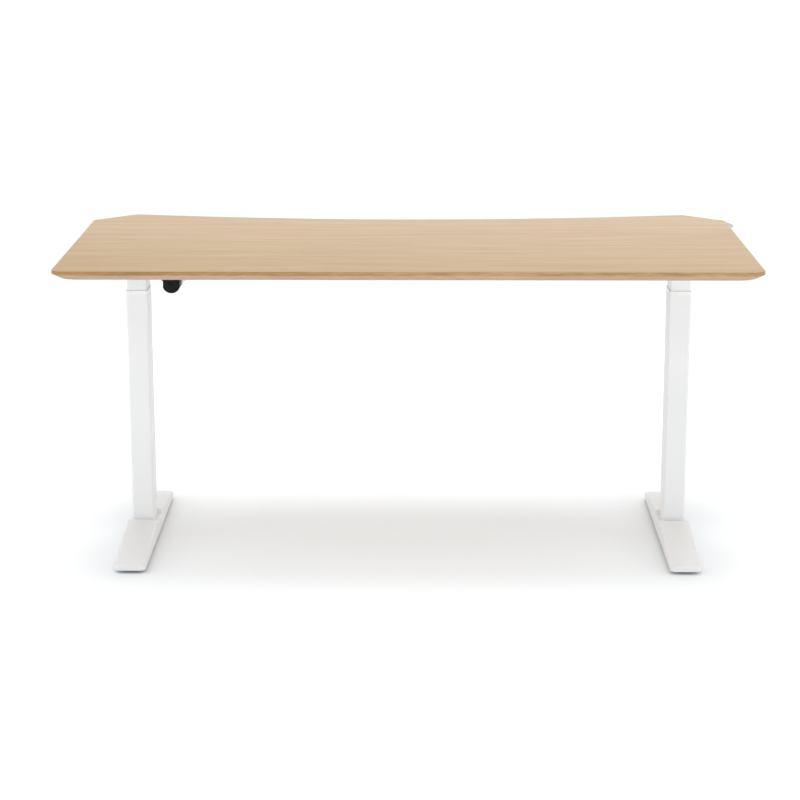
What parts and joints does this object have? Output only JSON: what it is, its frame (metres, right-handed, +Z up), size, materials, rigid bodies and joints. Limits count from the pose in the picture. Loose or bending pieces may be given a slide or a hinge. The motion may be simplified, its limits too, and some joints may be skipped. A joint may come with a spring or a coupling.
{
  "type": "height adjustable standing desk",
  "caption": "Electric sit-stand desk: light oak top with clipped front corners and a hollow front edge, on two white telescopic columns with wedge feet, motor and handset.",
  "frame": {"origin": "on the floor, under the middle of the whole desk's plan box, handset included (the frame's plane of symmetry is at X = -11.9 mm)", "axes": "+X along the worktop, +Y towards the sitter, +Z up"},
  "size_m": [1.6262, 0.8262, 0.7185],
  "materials": {
    "oak_veneer": "matt lacquered light oak, grain along the length",
    "white_powder_coat": "fine matt white powder coat",
    "white_plastic": "moulded white guide ring",
    "black_plastic": "fine sparked black",
    "cap_plastic": "black rim, sparked dark grey face",
    "glide_rubber": "moulded",
    "zinc_steel": "bright zinc plated",
    "ground_steel": "ground and oiled",
    "bronze": "machined",
    "cast_housing": "die cast",
    "stator_core": "laminated",
    "circuit_board": "solder mask",
    "grey_plastic": "fine texture, cool light grey",
    "display_glass": "smoked gloss window",
    "button_plastic": "soft dark grey key"
  },
  "bodies": {
    "base": {"foot_left": "white_powder_coat", "foot_right": "white_powder_coat", "foot_plates": "zinc_steel", "levelling_glides": "glide_rubber", "glide_nuts": "zinc_steel", "column_outer_left": "white_powder_coat", "column_outer_right": "white_powder_coat", "column_base_plates": "zinc_steel", "foot_screws": "zinc_steel", "column_collars": "white_plastic", "nut_tubes": "ground_steel", "spindle_nuts": "bronze"},
    "upper": {"desktop": "oak_veneer", "column_inner_left": "white_powder_coat", "column_inner_right": "white_powder_coat", "inner_tube_glides": "black_plastic", "side_arm_left": "white_powder_coat", "side_arm_right": "white_powder_coat", "desktop_pads": "glide_rubber", "desktop_screws": "zinc_steel", "crossbeam": "white_powder_coat", "beam_bolts": "zinc_steel", "gearbox_housings": "white_powder_coat", "gearbox_covers": "white_powder_coat", "gearbox_bolts": "zinc_steel", "spindle_bearings": "ground_steel", "shaft_bearings": "ground_steel", "motor_can": "white_powder_coat", "motor_cap": "cap_plastic", "motor_stator": "stator_core", "motor_bearings": "ground_steel", "worm_housing": "cast_housing", "motor_bracket": "white_powder_coat", "motor_bolts": "zinc_steel", "control_box_tray": "black_plastic", "control_box_lid": "black_plastic", "control_board": "circuit_board", "power_inlet": "black_plastic", "inlet_pins": "bronze", "control_sockets": "black_plastic", "small_screws": "zinc_steel", "handset_cover": "grey_plastic", "handset_base": "grey_plastic", "handset_display": "display_glass", "handset_board": "circuit_board"},
    "cross_shaft": {"cross_shaft": "ground_steel", "shaft_pinions": "ground_steel", "worm_wheel": "bronze"},
    "spindle_left": {"spindle_left": "ground_steel", "spindle_gear_left": "ground_steel"},
    "spindle_right": {"spindle_right": "ground_steel", "spindle_gear_right": "ground_steel"},
    "motor_rotor": {"motor_rotor": "ground_steel"},
    "button_up": {"button_up": "button_plastic"},
    "button_down": {"button_down": "button_plastic"},
    "button_memory_1": {"button_memory_1": "button_plastic"},
    "button_memory_2": {"button_memory_2": "button_plastic"},
    "button_memory_3": {"button_memory_3": "button_plastic"},
    "button_store": {"button_store": "button_plastic"}
  },
  "joints": [
    {"name": "lift", "type": "slide", "parent": "base", "child": "upper", "axis": [0, 0, 1], "range_m": [0, 0.45]},
    {"name": "cross_shaft_spin", "type": "hinge", "parent": "upper", "child": "cross_shaft", "pos_m": [-0.01189, -0.06993, 0.674], "axis": [1, 0, 0], "continuous": true},
    {"name": "spindle_left_spin", "type": "hinge", "parent": "upper", "child": "spindle_left", "pos_m": [-0.65689, -0.06993, 0.6], "axis": [0, 0, 1], "continuous": true},
    {"name": "spindle_right_spin", "type": "hinge", "parent": "upper", "child": "spindle_right", "pos_m": [0.63311, -0.06993, 0.6], "axis": [0, 0, 1], "continuous": true},
    {"name": "motor_spin", "type": "hinge", "parent": "upper", "child": "motor_rotor", "pos_m": [-0.56039, -0.13193, 0.655], "axis": [0, 1, 0], "continuous": true},
    {"name": "press_up", "type": "slide", "parent": "upper", "child": "button_up", "axis": [-0.2121, -0.2305, -0.9497], "range_m": [0, 0.0008], "stiffness_N_per_m": 1500, "springref_m": -0.0004},
    {"name": "press_down", "type": "slide", "parent": "upper", "child": "button_down", "axis": [-0.2121, -0.2305, -0.9497], "range_m": [0, 0.0008], "stiffness_N_per_m": 1500, "springref_m": -0.0004},
    {"name": "press_memory_1", "type": "slide", "parent": "upper", "child": "button_memory_1", "axis": [-0.2121, -0.2305, -0.9497], "range_m": [0, 0.0008], "stiffness_N_per_m": 1500, "springref_m": -0.0004},
    {"name": "press_memory_2", "type": "slide", "parent": "upper", "child": "button_memory_2", "axis": [-0.2121, -0.2305, -0.9497], "range_m": [0, 0.0008], "stiffness_N_per_m": 1500, "springref_m": -0.0004},
    {"name": "press_memory_3", "type": "slide", "parent": "upper", "child": "button_memory_3", "axis": [-0.2121, -0.2305, -0.9497], "range_m": [0, 0.0008], "stiffness_N_per_m": 1500, "springref_m": -0.0004},
    {"name": "press_store", "type": "slide", "parent": "upper", "child": "button_store", "axis": [-0.2121, -0.2305, -0.9497], "range_m": [0, 0.0008], "stiffness_N_per_m": 1500, "springref_m": -0.0004}
  ],
  "couplings": [
    {"joint": "cross_shaft_spin", "follows": "lift", "rad_per_m": 628.32},
    {"joint": "spindle_left_spin", "follows": "lift", "rad_per_m": 628.32},
    {"joint": "spindle_right_spin", "follows": "lift", "rad_per_m": 628.32},
    {"joint": "motor_spin", "follows": "lift", "rad_per_m": 6283.2}
  ]
}
